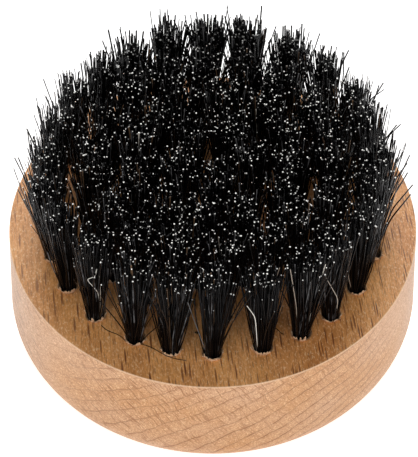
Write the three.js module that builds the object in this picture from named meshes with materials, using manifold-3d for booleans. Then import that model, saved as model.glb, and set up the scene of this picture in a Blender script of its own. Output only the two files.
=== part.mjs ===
// A round, palm-sized beard brush: a turned beech base and rings of boar-bristle tufts, each folded
// over a short flat wire and driven into its own blind hole.
//
// Millimetres. The origin is the centre of the flat underside, +Z points up through the bristles,
// and the wood's grain runs along Y. Nothing on the brush moves.

import * as THREE from 'three';
import { mergeVertices } from 'three/addons/utils/BufferGeometryUtils.js';
import Module from 'manifold-3d';

// ---- Turned base ----
const BASE_RADIUS = 35.0;          // widest, just above the rounded lower edge
const FACE_RADIUS = 34.3;          // the sides draw in a little towards the drilled face
const BASE_HEIGHT = 21.7;
const LOWER_EDGE_RADIUS = 6.0;
const RIM_BEVEL = 0.3;             // the broken edge round the drilled face
const BASE_SEGMENTS = 72;

// ---- Holes and tufts ----
const HOLE_RADIUS = 1.45;
const HOLE_DEPTH = 9.5;            // to the shoulder of the drill's cone
const DRILL_CONE = 0.8;
const CLEARANCE = 0.3;             // between a tuft, with its wire, and the wood
const BRISTLE_LENGTH = 17.0;       // free length above the face
const TIP_RADIUS = 2.75;           // how far the free bristles have spread at the cut
const TIP_CROWN = 0.6;             // the cut is slightly domed
const TUFT_SIDES = 10;

// ---- Anchor wires: a flat staple across each fold, its ends biting into the hole's wall ----
const WIRE_BITE = 0.5;
const WIRE_THICKNESS = 0.4;
const WIRE_WIDTH = 1.6;
const WIRE_HEIGHT = 1.5;           // centre of the wire above the bottom of the fold

// ---- Rings of holes, from the rim inwards. The first hole is the one nearest the front (-Y). ----
// A wander is how many degrees a hole sits off its even place, as a hand-fed drill leaves it.
const RINGS = [
  {
    name: 'outer',
    radius: 27.4,
    count: 24,
    firstAngle: -90,
    wander: [0, 2, 1.5, -0.5, -0.5, 1, 0, 1, -1, 0, 1, 2, 2, 2, 2, 1, -0.5, 0, 1, 0.5, 0, 1, 3, 1],
  },
  { name: 'second', radius: 20.4, count: 18, firstAngle: -85.6, wander: [0, 1, -1] },
  { name: 'third', radius: 13.6, count: 12, firstAngle: -98, wander: [0, -1.5, 1, 1.5] },
  { name: 'inner', radius: 6.2, count: 5, firstAngle: -80, wander: [0, 3, -2] },
];

const wasm = await Module();
wasm.setup();

// ---- Solids ----

/** A closed three.js geometry as a solid that can be joined and cut. */
function toSolid(geometry) {
  const bare = geometry.clone();
  bare.deleteAttribute('normal');
  bare.deleteAttribute('uv');
  const merged = mergeVertices(bare, 1e-4);
  const vertProperties = new Float32Array(merged.attributes.position.array);
  const triVerts = new Uint32Array(merged.index.array);
  return new wasm.Manifold(new wasm.Mesh({ numProp: 3, vertProperties, triVerts }));
}

/** A solid back as a three.js geometry. */
function toGeometry(solid) {
  const mesh = solid.getMesh();
  const geometry = new THREE.BufferGeometry();
  geometry.setAttribute('position', new THREE.BufferAttribute(mesh.vertProperties, 3));
  geometry.setIndex(new THREE.BufferAttribute(mesh.triVerts, 1));
  geometry.computeVertexNormals();
  return geometry;
}

/** A shape turned about Z from [radius, height] points that run from the axis back to the axis. */
function turned(points, segments) {
  const profile = points.map(([radius, height]) => new THREE.Vector2(radius, height));
  return new THREE.LatheGeometry(profile, segments).rotateX(Math.PI / 2);
}

// ---- Sub-parts ----

/** Half-section of the base: flat underside, rounded lower edge, sides drawn in, bevelled rim. */
function baseProfile() {
  const points = [[0, 0]];
  const arcSteps = 6;
  for (let i = 0; i <= arcSteps; i += 1) {
    const turn = (i / arcSteps) * (Math.PI / 2);
    points.push([
      BASE_RADIUS - LOWER_EDGE_RADIUS + LOWER_EDGE_RADIUS * Math.sin(turn),
      LOWER_EDGE_RADIUS - LOWER_EDGE_RADIUS * Math.cos(turn),
    ]);
  }
  points.push([FACE_RADIUS, BASE_HEIGHT - RIM_BEVEL]);
  points.push([FACE_RADIUS - RIM_BEVEL, BASE_HEIGHT]);
  points.push([0, BASE_HEIGHT]);
  return points;
}

/** One blind hole, with the cone that the drill leaves, open above the face. */
function holeCutter() {
  const overshoot = 1;
  return toSolid(turned([
    [0, -HOLE_DEPTH - DRILL_CONE],
    [HOLE_RADIUS, -HOLE_DEPTH],
    [HOLE_RADIUS, overshoot],
    [0, overshoot],
  ], TUFT_SIDES));
}

/** A bar along X, the shape of an anchor wire, grown by a margin on every side. */
function wireBar(margin) {
  const length = 2 * (HOLE_RADIUS + WIRE_BITE + margin);
  const bar = new THREE.BoxGeometry(length, WIRE_THICKNESS + 2 * margin, WIRE_WIDTH + 2 * margin);
  const foldBottom = -HOLE_DEPTH + CLEARANCE;
  return toSolid(bar.translate(0, 0, foldBottom + WIRE_HEIGHT));
}

/** One tuft, with the wire in its fold: narrow in the hole, spreading evenly to a domed cut. */
function tuftSolid() {
  const rootRadius = HOLE_RADIUS - CLEARANCE;
  const foldBottom = -HOLE_DEPTH + CLEARANCE;
  const foldRise = 0.7;
  const bundle = toSolid(turned([
    [0, foldBottom],
    [rootRadius * 0.7, foldBottom + foldRise * 0.3],
    [rootRadius, foldBottom + foldRise],
    [rootRadius, 0],
    [TIP_RADIUS, BRISTLE_LENGTH - TIP_CROWN],
    [0, BRISTLE_LENGTH],
  ], TUFT_SIDES));
  return bundle.add(wireBar(0));
}

/** Every hole's name and place on the drilled face, ring by ring. */
function holePlaces() {
  const places = [];
  for (const ring of RINGS) {
    for (let i = 0; i < ring.count; i += 1) {
      const wander = ring.wander[i % ring.wander.length];
      const angle = THREE.MathUtils.degToRad(ring.firstAngle + (360 / ring.count) * i + wander);
      places.push({
        name: `tuft_${ring.name}_${String(i + 1).padStart(2, '0')}`,
        position: [ring.radius * Math.cos(angle), ring.radius * Math.sin(angle), BASE_HEIGHT],
      });
    }
  }
  return places;
}

/** The turned base with a hole, and two nicks for the wire's ends, at each place. */
function baseSolid(places) {
  const cutter = holeCutter().add(wireBar(CLEARANCE));
  let base = toSolid(turned(baseProfile(), BASE_SEGMENTS));
  for (const place of places) {
    base = base.subtract(cutter.translate(place.position));
  }
  return base;
}

// ---- Materials ----

const beech = new THREE.MeshStandardMaterial({ color: 0xcfa379, roughness: 0.55, metalness: 0 });

/** Each tuft has its own material, all of them the near-black of dyed boar bristle. */
function bristle() {
  return new THREE.MeshStandardMaterial({ color: 0x14110f, roughness: 0.4, metalness: 0 });
}

// ---- Assembly ----

const brush = new THREE.Group();
const places = holePlaces();

const base = new THREE.Mesh(toGeometry(baseSolid(places)), beech);
base.name = 'wooden_base';
brush.add(base);

const tuftGeometry = toGeometry(tuftSolid());
for (const place of places) {
  const tuft = new THREE.Mesh(tuftGeometry, bristle());
  tuft.name = place.name;
  tuft.position.set(...place.position);
  brush.add(tuft);
}

export default brush;
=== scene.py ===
"""Looks of the round beard brush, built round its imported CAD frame.

Metres, in the frame of the CAD part: the origin is the centre of the flat underside, +Z runs up
through the bristles, and the wood's grain runs nearly along Y. Every place comes from the frame.
"""

import math
from types import SimpleNamespace

import bpy
import numpy as np
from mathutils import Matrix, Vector
from mathutils.geometry import delaunay_2d_cdt


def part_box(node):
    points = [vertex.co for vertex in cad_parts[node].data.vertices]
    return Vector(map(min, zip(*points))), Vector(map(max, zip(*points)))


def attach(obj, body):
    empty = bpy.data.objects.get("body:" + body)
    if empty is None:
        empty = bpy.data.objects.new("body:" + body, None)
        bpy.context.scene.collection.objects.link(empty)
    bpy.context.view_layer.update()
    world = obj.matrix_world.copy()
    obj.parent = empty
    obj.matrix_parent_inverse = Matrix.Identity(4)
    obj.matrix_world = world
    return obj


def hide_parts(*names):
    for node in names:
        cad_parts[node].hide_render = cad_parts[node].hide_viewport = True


MM = 0.001

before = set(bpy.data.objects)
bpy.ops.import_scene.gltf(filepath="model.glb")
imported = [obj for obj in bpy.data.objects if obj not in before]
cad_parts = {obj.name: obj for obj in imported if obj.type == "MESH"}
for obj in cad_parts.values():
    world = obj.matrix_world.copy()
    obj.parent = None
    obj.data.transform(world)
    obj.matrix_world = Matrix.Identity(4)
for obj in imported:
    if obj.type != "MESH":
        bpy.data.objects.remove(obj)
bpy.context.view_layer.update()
scene = bpy.context.scene

# ---- The frame's places ----

BASE_LOW, BASE_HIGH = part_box("wooden_base")
FACE_Z = BASE_HIGH.z
BASE_RADIUS = (BASE_HIGH.x - BASE_LOW.x) / 2
SIDE_DRAWN_IN = 0.7 * MM            # the turned side narrows by this much up to the face
FACE_RADIUS = BASE_RADIUS - SIDE_DRAWN_IN


def tuft_place(node):
    """A tuft's axis on the drilled face, how deep its fold sits and how high its bristles reach."""
    low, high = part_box(node)
    centre = (low + high) / 2
    return {
        "node": node,
        "centre": np.array((centre.x, centre.y)),
        "depth": FACE_Z - low.z,
        "reach": high.z - FACE_Z,
    }


TUFTS = [tuft_place(name) for name in sorted(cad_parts) if name.startswith("tuft_")]


# ---- Camera ----

CAMERA_ELEVATION = math.radians(49.5)
CAMERA_DISTANCE = 10 * FACE_RADIUS
CAMERA_LENS = 175.0
CAMERA_AIM = Vector((-0.63 * MM, -0.8 * MM, FACE_Z - 0.68 * MM))   # a little off the face's centre


def add_camera():
    """The camera looks down at the face from the front."""
    camera = bpy.data.objects.new("camera", bpy.data.cameras.new("camera"))
    scene.collection.objects.link(camera)
    back = Vector((0, -math.cos(CAMERA_ELEVATION), math.sin(CAMERA_ELEVATION)))
    camera.location = Vector((0, 0, FACE_Z)) + CAMERA_DISTANCE * back
    camera.rotation_euler = (CAMERA_AIM - camera.location).to_track_quat("-Z", "Y").to_euler()
    camera.data.sensor_fit = "HORIZONTAL"
    camera.data.sensor_width = 36
    camera.data.lens = CAMERA_LENS
    camera.data.clip_start = 0.01
    camera.data.clip_end = 20
    scene.camera = camera


# ---- Mesh helpers ----


def add_mesh(name, verts, faces, material, smooth=True, sharp_angle=None):
    """A mesh object in the frame's own coordinates. smooth is one flag or one flag per face."""
    mesh = bpy.data.meshes.new(name)
    mesh.from_pydata(verts, [], faces)
    piece = bpy.data.objects.new(name, mesh)
    scene.collection.objects.link(piece)
    mesh.materials.append(material)
    flags = np.broadcast_to(smooth, len(mesh.polygons)).astype(bool)
    mesh.polygons.foreach_set("use_smooth", flags)
    if sharp_angle is not None:
        mesh.set_sharp_from_angle(angle=sharp_angle)
    mesh.update()
    return piece


def add_values(piece, name, values):
    """One number per vertex, which the piece's material reads."""
    layer = piece.data.attributes.new(name, "FLOAT", "POINT")
    layer.data.foreach_set("value", np.asarray(values, dtype=np.float32))


def ring_faces(first, second, count):
    """Quads between two closed rings of vertices that start at these indices."""
    return [
        (first + i, first + (i + 1) % count, second + (i + 1) % count, second + i) for i in range(count)
    ]


def circle(radius, count):
    angles = np.arange(count) * 2 * math.pi / count
    return np.c_[radius * np.cos(angles), radius * np.sin(angles)]


# ---- Material helpers ----


class Nodes:
    """A material's node tree, with short calls for the nodes that these materials repeat."""

    def __init__(self, name):
        self.material = bpy.data.materials.new(name)
        self.material.use_nodes = True
        self.tree = self.material.node_tree
        self.shader = self.tree.nodes["Principled BSDF"]

    def node(self, kind, **settings):
        made = self.tree.nodes.new(kind)
        for key, value in settings.items():
            setattr(made, key, value)
        return made

    def feed(self, socket, value):
        """Links an output into a socket, or sets the socket to a plain value."""
        if isinstance(value, bpy.types.NodeSocket):
            self.tree.links.new(value, socket)
        else:
            socket.default_value = value

    def math(self, operation, a, b=0.0, c=0.0):
        made = self.node("ShaderNodeMath", operation=operation)
        for socket, value in zip(made.inputs, (a, b, c)):
            self.feed(socket, value)
        return made.outputs[0]

    def scaled(self, value, factor, offset=0.0):
        return self.math("MULTIPLY_ADD", value, factor, offset)

    def product(self, *values):
        result = values[0]
        for value in values[1:]:
            result = self.math("MULTIPLY", result, value)
        return result

    def turned(self, x, y, angle, scale=1.0):
        """The same place, or direction, in axes that are turned about Z: across and along."""
        cos_turn, sin_turn = math.cos(angle) * scale, math.sin(angle) * scale
        across = self.math("ADD", self.product(x, cos_turn), self.product(y, sin_turn))
        along = self.math("SUBTRACT", self.product(y, cos_turn), self.product(x, sin_turn))
        return across, along

    def vector(self, x, y, z):
        made = self.node("ShaderNodeCombineXYZ")
        for socket, value in zip(made.inputs, (x, y, z)):
            self.feed(socket, value)
        return made.outputs[0]

    def split(self, vector):
        made = self.node("ShaderNodeSeparateXYZ")
        self.feed(made.inputs[0], vector)
        return made.outputs

    def noise(self, vector, scale, detail=2.0, roughness=0.5):
        made = self.node("ShaderNodeTexNoise")
        self.feed(made.inputs["Vector"], vector)
        made.inputs["Scale"].default_value = scale
        made.inputs["Detail"].default_value = detail
        made.inputs["Roughness"].default_value = roughness
        return made.outputs["Fac"]

    def attribute(self, name):
        return self.node("ShaderNodeAttribute", attribute_name=name).outputs["Fac"]

    def ramp(self, value, stops):
        """A colour ramp with (position, grey or colour) stops."""
        made = self.node("ShaderNodeValToRGB")
        self.feed(made.inputs[0], value)
        elements = made.color_ramp.elements
        while len(elements) < len(stops):
            elements.new(0.5)
        for element, (position, colour) in zip(elements, stops):
            rgb = (colour,) * 3 if isinstance(colour, (int, float)) else colour
            element.position = position
            element.color = (*rgb, 1)
        return made.outputs[0]

    def mix(self, factor, a, b):
        made = self.node("ShaderNodeMix", data_type="RGBA")
        self.feed(made.inputs[0], factor)
        for socket, value in ((made.inputs[6], a), (made.inputs[7], b)):
            self.feed(socket, (*value, 1) if isinstance(value, tuple) else value)
        return made.outputs[2]

    def bump(self, height, strength, distance):
        made = self.node("ShaderNodeBump")
        self.feed(made.inputs["Height"], height)
        made.inputs["Strength"].default_value = strength
        made.inputs["Distance"].default_value = distance
        self.feed(self.shader.inputs["Normal"], made.outputs[0])

    def finish(self, colour, roughness):
        self.feed(self.shader.inputs["Base Color"], colour)
        self.feed(self.shader.inputs["Roughness"], roughness)
        return self.material


# ---- Beech ----

# The tree's centre line, the pith, lies beside and below the brush, in millimetres. The grain runs
# beside it, a little turned from Y.
GRAIN_TURN = math.radians(6)
PITH_X = 50.0
PITH_Z = -66.0
BRUSH_FROM_PITH = math.hypot(PITH_X, PITH_Z) + 5
WIDE_RING = 2.4                    # a year's growth outside GROWTH_CHANGE
NARROW_RING = 2.0                  # and inside it
GROWTH_CHANGE = 88.0
LAST_GROWTH = 120.0                # past every place in the brush
# Rays, the sheets that run out from the pith: how far apart and how tall they are, the share of
# places that have none, and how dark they are.
RAY_SIZES = ((0.42, 7.0, 0.57, 1.0), (0.24, 2.8, 0.6, 0.6))

# Linear colours. The first three are the two ends of the wood's slow drift in tone.
# The face's and the side's pairs are painted light: one wood toned apart for how light falls on each.
FACE_TONES_PAINTED_LIGHT = ((0.64, 0.252, 0.066), (0.88, 0.415, 0.132))
SIDE_TONES_PAINTED_LIGHT = ((0.52, 0.285, 0.15), (0.60, 0.36, 0.215))
END_TONES = ((0.63, 0.32, 0.135), (0.66, 0.38, 0.215))
DARK_FIBRE = (0.37, 0.125, 0.024)
PALE_SPECK = (0.93, 0.64, 0.37)
DARK_SPECK = (0.33, 0.14, 0.05)
LATE_WOOD = (0.25, 0.088, 0.022)
RAY_LINE = (0.32, 0.125, 0.037)
RAY_FLECK = (0.13, 0.028, 0.004)
# Also used for the painted highlight along the rim's bevel.
TORN_WOOD_AND_RIM_HIGHLIGHT = (0.97, 0.70, 0.46)


def tree_places(n):
    """A point's place in the tree in millimetres: around the pith, along it and out from it."""
    place = n.split(n.node("ShaderNodeTexCoord").outputs["Object"])
    across, along = n.turned(place[0], place[1], GRAIN_TURN, 1 / MM)
    from_pith_x = n.math("SUBTRACT", across, PITH_X)
    from_pith_z = n.scaled(place[2], 1 / MM, -PITH_Z)
    squares = n.math("ADD", n.product(from_pith_x, from_pith_x), n.product(from_pith_z, from_pith_z))
    turn = n.math("ARCTAN2", from_pith_z, from_pith_x)
    return SimpleNamespace(
        turn=turn,
        around=n.product(turn, BRUSH_FROM_PITH),
        along=along,
        out=n.math("SQRT", squares),
    )


def surface_cut(n, tree):
    """How much end grain a surface shows, how its lines and rays stand out and how level it is, which sets
    painted light.
    """
    normal = n.split(n.node("ShaderNodeTexCoord").outputs["Normal"])
    across, along = n.turned(normal[0], normal[1], GRAIN_TURN)
    facing = n.math("ABSOLUTE", along)
    # A surface that lies along the rays would show them as broad blotches, so they fade there.
    with_rays = n.math("ABSOLUTE", n.math("SUBTRACT",
        n.product(normal[2], n.math("COSINE", tree.turn)),
        n.product(across, n.math("SINE", tree.turn))))
    return SimpleNamespace(
        end_grain=n.ramp(facing, [(0.25, 0.0), (0.6, 1.0)]),
        end_lines=n.ramp(facing, [(0.55, 0.0), (0.8, 1.0)]),
        ray_contrast=n.ramp(with_rays, [(0.62, 1.0), (0.8, 0.2)]),
        # picks the face's or the side's tone, which differ as painted light
        level=n.ramp(n.math("ABSOLUTE", normal[2]), [(0.3, 0.0), (0.8, 1.0)]),
    )


def drawn_out(n, tree, along_share):
    """The place in the tree with everything drawn out along the grain."""
    return n.vector(tree.around, n.product(tree.along, along_share), tree.out)


def growth_rings(n, tree):
    """A thin darker line where each year's growth stops, and how far out in the tree it lies."""
    section = drawn_out(n, tree, 0.25)
    sway = n.scaled(n.noise(section, 0.05), 5.0, -2.5)
    ripple = n.scaled(n.noise(section, 0.35), 1.1, -0.55)
    grown = n.math("ADD", n.math("ADD", tree.out, sway), ripple)
    inside = n.math("MAXIMUM", n.math("SUBTRACT", GROWTH_CHANGE, grown), 0.0)
    slower = n.product(inside, 1 / NARROW_RING - 1 / WIDE_RING)
    year = n.math("FRACT", n.math("SUBTRACT", n.math("DIVIDE", grown, WIDE_RING), slower))
    late = n.ramp(year, [(0.0, 0.1), (0.5, 0.0), (0.87, 0.2), (0.925, 1.0), (0.955, 1.0), (1.0, 0.1)])
    late = n.product(late, n.ramp(n.noise(section, 0.5), [(0.3, 0.3), (0.6, 1.0)]))
    outer = n.ramp(n.math("DIVIDE", grown, LAST_GROWTH), [(0.69, 0.0), (0.84, 1.0)])
    return late, outer


def ray_flecks(n, tree, around):
    """Rays that the surface cuts lengthwise: short dashes along the grain."""
    flecks = 0.0
    for spacing, height, bare, weight in RAY_SIZES:
        cells = n.node("ShaderNodeTexVoronoi", feature="F1", voronoi_dimensions="2D")
        cells.inputs["Scale"].default_value = 1.0
        cell_place = n.vector(n.math("DIVIDE", around, spacing), n.math("DIVIDE", tree.along, height), 0.0)
        n.feed(cells.inputs["Vector"], cell_place)
        chance = n.node("ShaderNodeSeparateColor")
        n.feed(chance.inputs[0], cells.outputs["Color"])
        inside = n.ramp(cells.outputs["Distance"], [(0.16, 1.0), (0.28, 0.0)])
        strength = n.ramp(chance.outputs[0], [(bare, 0.0), (bare + 0.04, 0.7), (1.0, 1.0)])
        flecks = n.math("MAXIMUM", flecks, n.product(inside, strength, weight))
    return flecks


def ray_lines(n, tree, around):
    """Rays that the surface cuts across: fine lines on the end grain that run out from the pith."""
    drawn_outwards = n.vector(around, n.product(tree.along, 0.12), n.product(tree.out, 0.07))
    return n.ramp(n.noise(drawn_outwards, 4.2, roughness=0.6), [(0.565, 0.0), (0.615, 1.0)])


def beech_material():
    n = Nodes("beech")
    tree = tree_places(n)
    cut = surface_cut(n, tree)
    late, outer = growth_rings(n, tree)
    shiver = n.scaled(n.noise(drawn_out(n, tree, 0.03), 0.3), 1.6, -0.8)
    around = n.math("ADD", tree.around, shiver)
    flecks = ray_flecks(n, tree, around)
    lines = ray_lines(n, tree, around)
    fibre = n.noise(drawn_out(n, tree, 0.08), 3.5, detail=4.0, roughness=0.7)
    speck = n.noise(drawn_out(n, tree, 0.4), 4.5, detail=3.0, roughness=0.7)
    cloud = n.noise(drawn_out(n, tree, 0.4), 0.09, detail=3.0)
    drift = n.ramp(cloud, [(0.35, 0.0), (0.65, 1.0)])

    # Painted light: the level face and the turned side get differently toned copies of one wood, for how
    # differently light falls on them.
    long_grain_painted_light = n.mix(cut.level, n.mix(drift, *SIDE_TONES_PAINTED_LIGHT), n.mix(drift, *FACE_TONES_PAINTED_LIGHT))
    colour = n.mix(cut.end_grain, long_grain_painted_light, n.mix(drift, *END_TONES))
    fibre_share = n.product(n.ramp(fibre, [(0.42, 0.0), (0.62, 1.0)]), n.scaled(cut.end_grain, -0.05, 0.5))
    late_share = n.math("ADD", n.product(cut.end_lines, n.scaled(outer, -0.4, 1.0)), 0.1)
    line_share = n.math("ADD", n.product(cut.end_lines, n.scaled(outer, 0.66, 0.04)), 0.06)
    fleck_share = n.product(n.scaled(cut.end_grain, -0.82, 0.93), cut.ray_contrast)
    for share, stain in (
        (fibre_share, DARK_FIBRE),
        (n.product(n.ramp(speck, [(0.54, 0.0), (0.66, 1.0)]), 0.8), PALE_SPECK),
        (n.product(n.ramp(speck, [(0.3, 1.0), (0.46, 0.0)]), 0.45), DARK_SPECK),
        (n.product(late, late_share), LATE_WOOD),
        (n.product(lines, line_share), RAY_LINE),
        (n.product(flecks, fleck_share), RAY_FLECK),
        # torn wood round the holes, and a painted highlight along the rim's bevel
        (n.attribute("pale"), TORN_WOOD_AND_RIM_HIGHLIGHT),
    ):
        colour = n.mix(share, colour, stain)

    n.bump(n.math("SUBTRACT", n.product(fibre, 0.6), n.product(flecks, 0.8)), 0.3, 0.05 * MM)
    n.shader.inputs["Specular IOR Level"].default_value = 0.35
    n.shader.inputs["Coat Weight"].default_value = 0.12
    n.shader.inputs["Coat Roughness"].default_value = 0.3
    return n.finish(colour, n.scaled(fibre, 0.2, 0.4))


# ---- Bristle and steel ----


NATURAL_FROM = 0.35                # a bristle of a higher tone was never dyed
WHITE_CUT = (0.98, 0.96, 0.92)


def bristle_material():
    """Boar bristle, mostly dyed black, some painted grey as a highlight and some left brown or blond, pale
    where it was cut.
    """
    n = Nodes("boar_bristle")
    place = n.node("ShaderNodeTexCoord").outputs["Object"]
    # Painted highlight: this noise breaks the grey hairs' painted streaks into pieces along their length.
    torn_edge_and_painted_streak_gaps = n.ramp(n.noise(place, 450.0), [(0.35, 0.25), (0.65, 1.0)])
    tone = n.attribute("tone")
    # The grey at the top of this ramp is a painted highlight, not dye.
    dyed = n.ramp(n.product(tone, torn_edge_and_painted_streak_gaps), [
        (0.0, (0.0025, 0.0022, 0.0025)),
        (0.08, (0.005, 0.0045, 0.005)),
        (0.3, (0.21, 0.205, 0.21)),
    ])
    natural = n.ramp(tone, [
        (0.4, (0.05, 0.026, 0.015)),
        (0.65, (0.26, 0.16, 0.09)),
        (0.9, (0.92, 0.87, 0.78)),
    ])
    colour = n.mix(n.math("GREATER_THAN", tone, NATURAL_FROM), dyed, natural)
    colour = n.mix(n.attribute("cut"), colour, WHITE_CUT)
    n.shader.inputs["Specular IOR Level"].default_value = 0.08
    return n.finish(colour, 0.22)


def steel_material():
    n = Nodes("anchor_wire_steel")
    drawn = n.noise(n.node("ShaderNodeTexCoord").outputs["Object"], 4000.0, detail=3.0)
    n.shader.inputs["Metallic"].default_value = 1.0
    return n.finish(n.ramp(drawn, [(0.3, 0.5), (0.7, 0.7)]), n.scaled(drawn, 0.2, 0.25))


# ---- Base ----

BASE_SEGMENTS = 288
HOLE_SIDES = 40
HOLE_RADIUS = 1.45 * MM
HOLE_WORN = 0.16 * MM              # how far drilling broke the edge of a hole,
WORN_RANGE = (0.3, 1.5)            # in places less and in places more
TORN_PALENESS = 0.6                # at most, at that edge
LIP_PALENESS = 0.9                 # just inside it
HOLE_MARGIN = 0.22 * MM            # the torn wood's colour fades out over this distance
HOLE_BELOW_FOLD = 0.3 * MM
DRILL_CONE = 0.8 * MM
LOWER_EDGE_RADIUS = 6.0 * MM
RIM_BEVEL = 0.13 * MM
# A painted highlight: the rim's bevel is made pale where it would catch the light.
RIM_PAINTED_HIGHLIGHT = 0.5
INNER_RIM = FACE_RADIUS - 1.15 * RIM_BEVEL


def base_profile():
    """(radius, height, paleness) down the turned outside, from just inside the rim to the underside. The
    rim's paleness is a painted highlight.
    """
    points = []
    for turn in np.linspace(math.pi / 2, 0, 5):
        points.append((
            FACE_RADIUS - RIM_BEVEL * (1 - math.cos(turn)),
            FACE_Z - RIM_BEVEL * (1 - math.sin(turn)),
            RIM_PAINTED_HIGHLIGHT,
        ))
    top, bottom = points[-1], (BASE_RADIUS, LOWER_EDGE_RADIUS)
    for fall in np.linspace(0.01, 1, 10):          # the first step ends the rim's painted highlight
        points.append((top[0] + (bottom[0] - top[0]) * fall, top[1] + (bottom[1] - top[1]) * fall, 0.0))
    for turn in np.linspace(0, math.pi / 2, 17)[1:]:
        points.append((
            BASE_RADIUS - LOWER_EDGE_RADIUS * (1 - math.cos(turn)),
            LOWER_EDGE_RADIUS * (1 - math.sin(turn)),
            0.0,
        ))
    return points


def drilled_face(loops):
    """The flat face as triangles inside the rim and outside the holes, points in the loops' order."""
    points = [Vector(p) for loop in loops for p in loop]
    starts = np.cumsum([0] + [len(loop) for loop in loops])
    edges = [
        (a + i, a + (i + 1) % (b - a)) for a, b in zip(starts[:-1], starts[1:]) for i in range(b - a)
    ]
    verts, _, faces, _, _, _ = delaunay_2d_cdt(points, edges, [], 0, 1e-7)
    centres = np.array([tuft["centre"] for tuft in TUFTS])
    flat = np.array(verts)
    kept = []
    for face in faces:
        middle = flat[list(face)].mean(axis=0)
        if np.hypot(*(centres - middle).T).min() > HOLE_RADIUS:
            a, b, c = flat[list(face)[:3]]
            up = (b[0] - a[0]) * (c[1] - a[1]) > (b[1] - a[1]) * (c[0] - a[0])
            kept.append(tuple(face) if up else tuple(reversed(face)))
    return flat, kept, starts


def build_base(material):
    rng = np.random.default_rng(11)
    loops = [circle(INNER_RIM, BASE_SEGMENTS)]
    for tuft in TUFTS:
        torn_edge_and_painted_streak_gaps = HOLE_RADIUS + HOLE_WORN * rng.uniform(*WORN_RANGE, HOLE_SIDES)
        sound = HOLE_RADIUS + HOLE_WORN * WORN_RANGE[1] + HOLE_MARGIN
        loops.append(circle(1, HOLE_SIDES) * torn_edge_and_painted_streak_gaps[:, None] + tuft["centre"])
        loops.append(circle(sound, HOLE_SIDES) + tuft["centre"])
    flat, faces, starts = drilled_face(loops)
    verts = [(x, y, FACE_Z) for x, y in flat]
    smooth = [False] * len(faces)
    pale = [0.0] * len(verts)

    above = 0
    for radius, height, paleness in base_profile():
        start = len(verts)
        verts += [(x, y, height) for x, y in circle(radius, BASE_SEGMENTS)]
        pale += [paleness] * BASE_SEGMENTS
        faces += ring_faces(start, above, BASE_SEGMENTS)
        smooth += [above != 0] * BASE_SEGMENTS
        above = start
    faces.append(tuple(reversed(range(above, above + BASE_SEGMENTS))))
    smooth.append(False)

    for tuft, above in zip(TUFTS, starts[1::2]):
        pale[above:above + HOLE_SIDES] = list(rng.uniform(0.0, TORN_PALENESS, HOLE_SIDES))
        floor_z = FACE_Z - tuft["depth"] - HOLE_BELOW_FOLD
        wall = ((FACE_Z - HOLE_WORN, LIP_PALENESS), (FACE_Z - 3 * HOLE_WORN, 0.0), (floor_z, 0.0))
        for height, paleness in wall:
            start = len(verts)
            verts += [(*(tuft["centre"] + p), height) for p in circle(HOLE_RADIUS, HOLE_SIDES)]
            pale += [paleness] * HOLE_SIDES
            faces += ring_faces(above, start, HOLE_SIDES)
            smooth += [True] * HOLE_SIDES
            above = start
        tip = len(verts)
        verts.append((*tuft["centre"], floor_z - DRILL_CONE))
        pale.append(0.0)
        faces += [(above + i, above + (i + 1) % HOLE_SIDES, tip) for i in range(HOLE_SIDES)]
        smooth += [True] * HOLE_SIDES

    base = add_mesh("beech_body", verts, faces, material, smooth, math.radians(40))
    add_values(base, "pale", pale)
    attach(base, "root")
    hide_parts("wooden_base")


FLAKES_PER_HOLE = 22
FLAKE_HALF_THICKNESS = 0.04 * MM
FLAKE_SUNK = 0.05 * MM
FLAKE_OUT = (0.02 * MM, 0.24 * MM)             # past the hole's edge; this and the next are ranges
FLAKE_HALF_WIDTH = (0.1 * MM, 0.32 * MM)
FLAKE_RISE = (0.2 * MM, 0.9 * MM)
FLAKE_LEAN = (0.0, 0.35 * MM)
FLAKE_OUTLINE = ((0, 1.0), (0.55, 0.8), (1, 0.25))     # how far up and how wide there


def flake_verts(root, outward, half_width, rise, lean, slip):
    """Four corners at each height of a flake that leans outward and narrows upwards."""
    sideways = np.array((-outward[1], outward[0], 0))
    verts = []
    for share, narrow in FLAKE_OUTLINE:
        middle = root + outward * lean * share**2 + sideways * slip * share
        middle[2] += rise * share
        for side in (-1, 1):
            edge = middle + sideways * side * half_width * narrow
            for thick in (-1, 1):
                verts.append(edge + outward * thick * FLAKE_HALF_THICKNESS)
    return verts


def build_torn_fibres(material):
    """Short flakes of wood that the drill tore up, mostly where it cut across the grain's ends."""
    rng = np.random.default_rng(23)
    verts, faces = [], []
    for tuft in TUFTS:
        for _ in range(FLAKES_PER_HOLE):
            front_or_back = rng.choice((-1, 1), p=(0.7, 0.3))
            turn = front_or_back * math.pi / 2 + rng.normal(0, 0.75)
            outward = np.array((math.cos(turn), math.sin(turn), 0))
            root = np.array((*tuft["centre"], FACE_Z - FLAKE_SUNK))
            root += outward * (HOLE_RADIUS + rng.uniform(*FLAKE_OUT))
            half_width = rng.uniform(*FLAKE_HALF_WIDTH)
            rise = rng.uniform(*FLAKE_RISE)
            lean = rng.uniform(*FLAKE_LEAN)
            slip = rng.normal(0, 0.08) * MM
            start = len(verts)
            verts += flake_verts(root, outward, half_width, rise, lean, slip)
            for low in (start, start + 4):
                faces += [
                    (low, low + 4, low + 6, low + 2), (low + 1, low + 3, low + 7, low + 5),
                    (low, low + 1, low + 5, low + 4), (low + 2, low + 6, low + 7, low + 3),
                ]
            faces.append((start, start + 2, start + 3, start + 1))
            faces.append((start + 8, start + 9, start + 11, start + 10))
    piece = add_mesh("torn_fibres", verts, faces, material, smooth=False)
    add_values(piece, "pale", rng.uniform(0.7, 1.0, len(verts)))
    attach(piece, "root")


# ---- Bristle tufts ----

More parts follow.
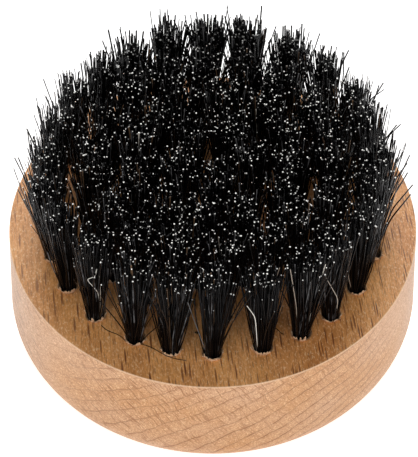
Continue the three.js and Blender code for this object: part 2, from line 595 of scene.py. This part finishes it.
HAIRS_PER_TUFT = 92                # each is folded in half, so it shows two free ends
HAIR_SIDES = 4
HAIR_RADIUS = 0.088 * MM
HAIR_THICKNESSES = (0.6, 1.35)     # against HAIR_RADIUS
TIP_TAPER = 0.9                    # a bristle thins towards its cut end
CUT_FLARE = 0.5                    # and the shears flatten that end
MOUTH_RADIUS = 1.38 * MM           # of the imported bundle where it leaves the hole
FREE_STEPS = np.array((0.0, 0.25, 0.5, 0.75, 0.99, 1.0))
FAN = 1.2                          # tips fan out by this, against their place in the mouth
SCATTER = 0.72 * MM                # each tip's own wandering
WILD_SCATTER = 1.8 * MM            # and that of the wild ones
OVER_CAD = 2.8 * MM                # the longest of the even cut, above the CAD tuft
UNEVENNESS = 1.7 * MM              # of the cut
MISSED_SHARE = 0.06                # bristles that the shears missed
MISSED_BY = 1.2 * MM
SHORT_SHARE = 0.12                 # and bristles that are shorter, down to these shares of it
SHORT_LENGTHS = (0.6, 0.92)
BEND = 0.22 * MM
BACK_EDGE = (14 * MM, 25 * MM)     # towards the back, where the looks of the back edge set in
WILD_SHARE = (0.14, 0.32)          # before and past the back edge
COARSENESS = (1, 1.4)
WHITENESS = (1, 0.35)
SIDE_LEAN = 0.035                  # side tufts lean in by this share of their distance
SIDE_LEAN_FROM = (-10 * MM, 5 * MM)
WIRE_RISE = 1.5 * MM               # of the anchor wire's middle above the fold's lowest point
WIRE_HALF_THICKNESS = 0.2 * MM
WIRE_HALF_WIDTH = 0.8 * MM
WIRE_BITE = 0.5 * MM


def tube_mesh(paths, radii):
    """Vertices and faces of many tubes. paths is (tubes, rings, 3), radii is (tubes, rings)."""
    tubes, rings, _ = paths.shape
    tangent = np.gradient(paths, axis=1)
    tangent /= np.linalg.norm(tangent, axis=2, keepdims=True)
    side = np.zeros_like(tangent)
    side[..., 0] = 1
    side -= (side * tangent).sum(2, keepdims=True) * tangent
    side /= np.linalg.norm(side, axis=2, keepdims=True)
    other = np.cross(tangent, side)
    angles = np.arange(HAIR_SIDES) * 2 * math.pi / HAIR_SIDES
    spokes = side[:, :, None] * np.cos(angles)[:, None] + other[:, :, None] * np.sin(angles)[:, None]
    verts = paths[:, :, None] + spokes * radii[:, :, None, None]
    faces = []
    smooth = []
    for tube in range(tubes):
        first = tube * rings * HAIR_SIDES
        for ring in range(rings - 1):
            faces += ring_faces(first + ring * HAIR_SIDES, first + (ring + 1) * HAIR_SIDES, HAIR_SIDES)
            smooth += [True] * HAIR_SIDES
        last = first + (rings - 1) * HAIR_SIDES
        faces += [tuple(reversed(range(first, first + HAIR_SIDES))), tuple(range(last, last + HAIR_SIDES))]
        smooth += [False, False]
    return verts.reshape(-1, 3), faces, smooth


def free_ends(rng, tuft, mouth, lean):
    """Paths of the free ends from the hole's mouth to the cut, (ends, steps, 3)."""
    count = len(mouth)
    wild_share = np.interp(tuft["centre"][1], BACK_EDGE, WILD_SHARE)
    loose = np.where(rng.random(count) < wild_share, WILD_SCATTER, SCATTER)
    scatter = np.clip(rng.normal(0, 1, (count, 2)), -2, 2) * loose[:, None]
    spread = mouth * FAN + lean
    length = tuft["reach"] + OVER_CAD - np.abs(rng.normal(0, UNEVENNESS, count))
    kind = rng.random(count)
    length[kind < MISSED_SHARE] += MISSED_BY
    short = kind > 1 - SHORT_SHARE
    length[short] *= rng.uniform(*SHORT_LENGTHS, short.sum())
    bend = rng.normal(0, BEND, (count, 2))
    s = FREE_STEPS[:, None]
    flat = mouth[:, None] + spread[:, None] * s + scatter[:, None] * s**1.3
    flat += bend[:, None] * np.sin(s * math.pi)
    slant = np.linalg.norm(spread + scatter, axis=1) / length
    rise = (length / np.sqrt(1 + slant**2))[:, None] * FREE_STEPS
    return np.dstack([flat, rise])


# Bristles that aren't black, the grey ones a painted highlight: from and up to which share of them, and
# their range of tones.
PAINTED_STREAKS_AND_PALE_BRISTLES = (
    (0.89, 0.986, 0.16, 0.32),      # grey: a painted highlight, the light's streaks along glossy hairs
    (0.986, 0.998, 0.4, 0.55),      # brown
    (0.998, 1.0, 0.65, 0.85),       # blond
)


def hair_tones(rng, count):
    tone = np.abs(rng.normal(0, 0.05, count))
    kind = rng.random(count)
    for low, high, darkest, palest in PAINTED_STREAKS_AND_PALE_BRISTLES:
        chosen = (kind >= low) & (kind < high)
        tone[chosen] = rng.uniform(darkest, palest, chosen.sum())
    return tone


def cut_ends(rng, tuft):
    """How white each cut end is: many stay dark, some are bare white, at the back edge less so."""
    whitest = np.interp(tuft["centre"][1], BACK_EDGE, WHITENESS)
    return whitest * np.clip(rng.normal(-0.3, 1.4, HAIRS_PER_TUFT), 0, 1)


def fold_path(front, wire_z):
    """Each hair's way down, under the anchor wire and up again, the inner hairs closest to it."""
    layer = np.abs(front[:, 1]) * 0.75
    fold = []
    for side, drop in ((-1, 0.0), (-0.75, 0.75), (0, 1.0), (0.75, 0.75), (1, 0.0)):
        fold.append(np.c_[
            front[:, 0] * 0.8,
            side * (WIRE_HALF_THICKNESS + layer),
            wire_z - drop * (WIRE_HALF_WIDTH * 0.9 + layer * 0.55) + (0 if drop else WIRE_HALF_WIDTH),
        ])
    return np.stack(fold, axis=1)


def build_tuft(tuft, index, material):
    """All the folded hairs of one tuft as one piece, from one cut end round the wire to the other."""
    rng = np.random.default_rng(100 + index)
    turn = rng.random(HAIRS_PER_TUFT) * math.pi
    radius = MOUTH_RADIUS * np.sqrt(rng.random(HAIRS_PER_TUFT))
    front = np.c_[radius * np.cos(turn), -np.abs(radius * np.sin(turn)) - 0.04 * MM]
    behind = np.c_[front[:, 0] + rng.normal(0, 0.1 * MM, HAIRS_PER_TUFT), -front[:, 1]]
    lean = rng.normal(0, 0.35 * MM, 2)
    lean[0] -= tuft["centre"][0] * np.interp(tuft["centre"][1], SIDE_LEAN_FROM, (0, SIDE_LEAN))
    front_free = free_ends(rng, tuft, front, lean)
    behind_free = free_ends(rng, tuft, behind, lean)
    fold = fold_path(front, WIRE_RISE - tuft["depth"])
    paths = np.concatenate([front_free[:, ::-1], fold, behind_free], axis=1)
    paths += (*tuft["centre"], FACE_Z)

    rings = paths.shape[1]
    free = len(FREE_STEPS)
    taper_ends = (0, free, rings - free, rings - 1)
    taper = np.interp(np.arange(rings), taper_ends, (TIP_TAPER, 1, 1, TIP_TAPER))
    cut = np.zeros((HAIRS_PER_TUFT, rings))
    cut[:, 0] = cut_ends(rng, tuft)
    cut[:, -1] = cut_ends(rng, tuft)
    coarse = np.interp(tuft["centre"][1], BACK_EDGE, COARSENESS)
    thick = rng.uniform(*HAIR_THICKNESSES, HAIRS_PER_TUFT)[:, None] * HAIR_RADIUS * coarse
    verts, faces, smooth = tube_mesh(paths, thick * taper * (1 + CUT_FLARE * cut))
    piece = add_mesh(tuft["node"].replace("tuft", "bristles"), verts, faces, material, smooth)
    add_values(piece, "cut", np.repeat(cut.ravel(), HAIR_SIDES))
    add_values(piece, "tone", np.repeat(hair_tones(rng, HAIRS_PER_TUFT), rings * HAIR_SIDES))
    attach(piece, "root")
    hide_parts(tuft["node"])


# Single bristles that leave their tuft: the tuft, the tone, the thickness against the others, and
# straight stretches from the hole's mouth up, each its length in millimetres and how many degrees
# it leans to the right and to the back.
STRAYS = (
    ("tuft_outer_22", 1.00, 0.8, ((8.0, 1, -8), (4.5, -22, -8), (1.6, 60, 0), (2.2, 8, -8))),
    ("tuft_outer_22", 0.80, 0.6, ((9.0, 3, -7), (4.0, 0, -8))),
    ("tuft_outer_22", 0.60, 0.5, ((6.0, 8, -10), (3.5, -16, -8))),
    ("tuft_outer_23", 0.28, 0.8, ((9.0, 9, -6), (5.0, 17, -4))),
    ("tuft_outer_24", 0.28, 0.8, ((15.0, 10, -5),)),
    ("tuft_outer_01", 0.28, 0.8, ((16.0, -11, -5),)),
    ("tuft_outer_02", 0.90, 0.8, ((11.0, -3, -9), (4.0, -20, -10))),
    ("tuft_outer_03", 0.72, 0.8, ((9.0, -2, -7), (11.0, -7, -6))),
    ("tuft_outer_03", 0.82, 0.8, ((8.0, 4, -3), (12.0, 8, -4))),
    ("tuft_outer_04", 0.75, 0.7, ((7.0, 0, -12), (7.0, -20, -6))),
    ("tuft_outer_05", 0.72, 0.8, ((5.0, -10, -12), (9.0, -3, -5))),
    ("tuft_outer_20", 0.02, 1.2, ((15.0, -17, 5),)),
    ("tuft_outer_20", 0.02, 1.1, ((7.0, -12, 2), (8.5, -8, 2))),
    ("tuft_outer_19", 0.02, 1.3, ((15.5, -16, 3),)),
    ("tuft_outer_18", 0.02, 1.7, ((15.0, -14, 0),)),
    ("tuft_outer_17", 0.02, 1.2, ((18.0, -13, 6),)),
    ("tuft_outer_08", 0.02, 1.6, ((10.0, 9, 7), (5.0, 22, -6))),
    ("tuft_outer_08", 0.02, 1.6, ((12.0, 11, 4), (3.5, 30, -6))),
    ("tuft_outer_09", 0.02, 1.5, ((13.0, 9, 8), (5.0, 20, 0))),
    ("tuft_outer_09", 0.02, 1.4, ((14.0, 7, 6), (3.5, 38, -8))),
    ("tuft_outer_10", 0.02, 1.5, ((14.0, 5, 8), (5.0, 18, 4))),
    ("tuft_outer_07", 0.02, 1.4, ((15.0, 16, 6),)),
    ("tuft_outer_07", 0.02, 1.6, ((10.0, 12, 2), (4.5, 20, -4))),
    ("tuft_outer_07", 0.55, 0.8, ((7.5, 9, 6), (2.8, 62, -10))),
    ("tuft_outer_06", 0.02, 1.6, ((10.0, 11, 2), (6.5, 27, 2))),
    ("tuft_outer_06", 0.02, 1.7, ((8.0, 13, 0), (6.5, 26, 2))),
    ("tuft_outer_06", 0.02, 1.5, ((12.0, 8, 3), (6.5, 20, 4))),
    ("tuft_outer_12", 0.02, 1.0, ((20.0, -9, 14),)),
    ("tuft_outer_13", 0.02, 1.0, ((20.0, 8, 13),)),
    ("tuft_outer_14", 0.02, 1.1, ((20.0, -1, 13),)),
    ("tuft_outer_14", 0.02, 1.0, ((20.0, -6, 12),)),
    ("tuft_outer_18", 0.60, 0.7, ((11.0, 8, -25), (4.5, 30, -15))),
)
# Bristles that fell out and lie on the face: where one starts and how long it is in millimetres,
# which way it points in degrees from +X, and how far it curls to both sides of that line.
FALLEN = (
    (-13.0, -25.5, 9.5, -22, 0.35),
    (-18.0, -22.0, 5.0, -38, -0.2),
    (-15.5, -17.5, 3.5, -60, 0.1),
    (10.0, -22.5, 2.0, -40, 0.1),
    (-2.9, -23.4, 0.8, -10, 0.1),
    (-2.8, -23.6, 0.7, 35, 0.1),
    (-2.6, -23.2, 0.6, -70, 0.1),
)
BURIED = 4.0 * MM                  # how much of a stray bristle the hole hides
STRAY_ROOT = 0.8                   # a stray bristle's place in the mouth, against its radius
FALLEN_THICKNESS = 0.75
BLACK = 0.02                       # the tone of the fallen ones
SINGLE_CUT = 0.1                   # how white the cut ends of stray and fallen bristles are


def stray_path(root, stretches):
    """Corners of a stray bristle, from inside the hole, past its mouth, to the free end."""
    _, lean, tilt = stretches[0]
    corner = np.array((math.copysign(1, lean), math.copysign(1, tilt), 0)) / math.sqrt(2)
    mouth = root + STRAY_ROOT * MOUTH_RADIUS * corner
    path = [mouth - (0, 0, BURIED), mouth]
    for length, *angles in stretches:
        lean, tilt = (math.tan(math.radians(angle)) for angle in angles)
        heading = np.array((lean, tilt, 1.0))
        path.append(path[-1] + heading / np.linalg.norm(heading) * length * MM)
    return np.array(path)


def rounded(path, passes=3, cut=0.12):
    """The same path with its corners cut off again and again, so that it bends instead of breaking."""
    for _ in range(passes):
        near_start = (1 - cut) * path[:-1] + cut * path[1:]
        near_end = cut * path[:-1] + (1 - cut) * path[1:]
        cuts = np.stack([near_start, near_end], axis=1)
        path = np.concatenate([path[:1], cuts.reshape(-1, 3)[1:-1], path[-1:]])
    return path


def fallen_path(x, y, length, heading, curl):
    """A shallow S, flat on the face."""
    share = np.linspace(0, 1, 17)
    heading = math.radians(heading)
    ahead = length * share
    aside = curl * np.sin(share * 2 * math.pi)
    return np.c_[
        x + ahead * math.cos(heading) - aside * math.sin(heading),
        y + ahead * math.sin(heading) + aside * math.cos(heading),
        np.zeros_like(share),
    ] * MM


def build_single_hair(name, path, radius, tone, material):
    radii = np.full(len(path), radius)
    radii[-1] *= TIP_TAPER
    verts, faces, smooth = tube_mesh(path[None], radii[None])
    piece = add_mesh(name, verts, faces, material, smooth)
    whiteness = np.zeros(len(path))
    whiteness[-1] = SINGLE_CUT
    add_values(piece, "cut", np.repeat(whiteness, HAIR_SIDES))
    add_values(piece, "tone", np.full(len(verts), tone))
    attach(piece, "root")


def build_single_hairs(material):
    centres = {tuft["node"]: tuft["centre"] for tuft in TUFTS}
    for number, (node, tone, thick, stretches) in enumerate(STRAYS, start=1):
        path = rounded(stray_path(np.array((*centres[node], FACE_Z)), stretches))
        build_single_hair(f"stray_{number:02d}", path, HAIR_RADIUS * thick, tone, material)
    for number, lie in enumerate(FALLEN, start=1):
        radius = HAIR_RADIUS * FALLEN_THICKNESS
        path = fallen_path(*lie) + (0, 0, FACE_Z + radius)
        build_single_hair(f"fallen_{number:02d}", path, radius, BLACK, material)


def wire_section():
    """The flat wire's cross-section as (y, z) corners, its four edges trimmed."""
    trim = WIRE_HALF_THICKNESS * 0.4
    corners = []
    for y, z in ((1, 1), (-1, 1), (-1, -1), (1, -1)):
        on_end = (y * (WIRE_HALF_THICKNESS - trim), z * WIRE_HALF_WIDTH)
        on_side = (y * WIRE_HALF_THICKNESS, z * (WIRE_HALF_WIDTH - trim))
        corners += [on_side, on_end] if y * z > 0 else [on_end, on_side]
    return corners


def build_anchor_wires(material):
    """The flat wires that hold each fold down and bite into the hole's sides, one piece per ring."""
    half_length = HOLE_RADIUS + WIRE_BITE
    section = wire_section()
    count = len(section)
    for ring in ("outer", "second", "third", "inner"):
        verts, faces = [], []
        for tuft in (t for t in TUFTS if ring in t["node"]):
            middle = np.array((*tuft["centre"], FACE_Z - tuft["depth"] + WIRE_RISE))
            start = len(verts)
            for end in (-1, 1):
                verts += [middle + (end * half_length, y, z) for y, z in section]
            faces += ring_faces(start + count, start, count)
            faces.append(tuple(range(start, start + count)))
            faces.append(tuple(reversed(range(start + count, start + 2 * count))))
        piece = add_mesh(f"anchor_wires_{ring}", verts, faces, material, smooth=False)
        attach(piece, "root")


# ---- Stage ----

FLOOR_HALF = 3.0
FLOOR_GLOW = 0.7                   # keeps the floor white all round, as in the photo
STUDIO_GLOW = 0.45
LIGHTS_AIM = Vector((0, 0, 0.02))
# Each soft light: its name, place, diameter and power.
LIGHTS = (
    ("back_overhead", (0.0, 0.75, 0.9), 0.9, 9),
    ("front_left", (-0.45, -0.95, 0.7), 0.6, 2.3),
    ("front_right", (0.5, -0.9, 0.6), 0.6, 2.0),
)


def add_stage():
    n = Nodes("floor_white")
    n.shader.inputs["Emission Color"].default_value = (1, 1, 1, 1)
    n.shader.inputs["Emission Strength"].default_value = FLOOR_GLOW
    place = n.node("ShaderNodeTexCoord").outputs["Object"]
    material = n.finish(n.ramp(n.noise(place, 3.0), [(0.0, 0.79), (1.0, 0.82)]), 0.9)
    half = FLOOR_HALF
    corners = [(-half, -half, 0), (half, -half, 0), (half, half, 0), (-half, half, 0)]
    add_mesh("floor", corners, [(0, 1, 2, 3)], material, smooth=False)


def add_area_light(name, place, size, power):
    light = bpy.data.objects.new(name, bpy.data.lights.new(name, "AREA"))
    scene.collection.objects.link(light)
    light.location = place
    light.rotation_euler = (LIGHTS_AIM - Vector(place)).to_track_quat("-Z", "Y").to_euler()
    light.data.shape = "DISK"
    light.data.size = size
    light.data.energy = power


def add_lights():
    world = bpy.data.worlds.new("studio")
    scene.world = world
    world.use_nodes = True
    background = world.node_tree.nodes["Background"]
    background.inputs["Color"].default_value = (1, 1, 1, 1)
    background.inputs["Strength"].default_value = STUDIO_GLOW
    for name, place, size, power in LIGHTS:
        add_area_light(name, place, size, power)


# ---- Build ----

scene.view_settings.view_transform = "Standard"
add_camera()
add_stage()
add_lights()
beech = beech_material()
build_base(beech)
build_torn_fibres(beech)
bristle = bristle_material()
for index, tuft in enumerate(TUFTS):
    build_tuft(tuft, index, bristle)
build_single_hairs(bristle)
build_anchor_wires(steel_material())
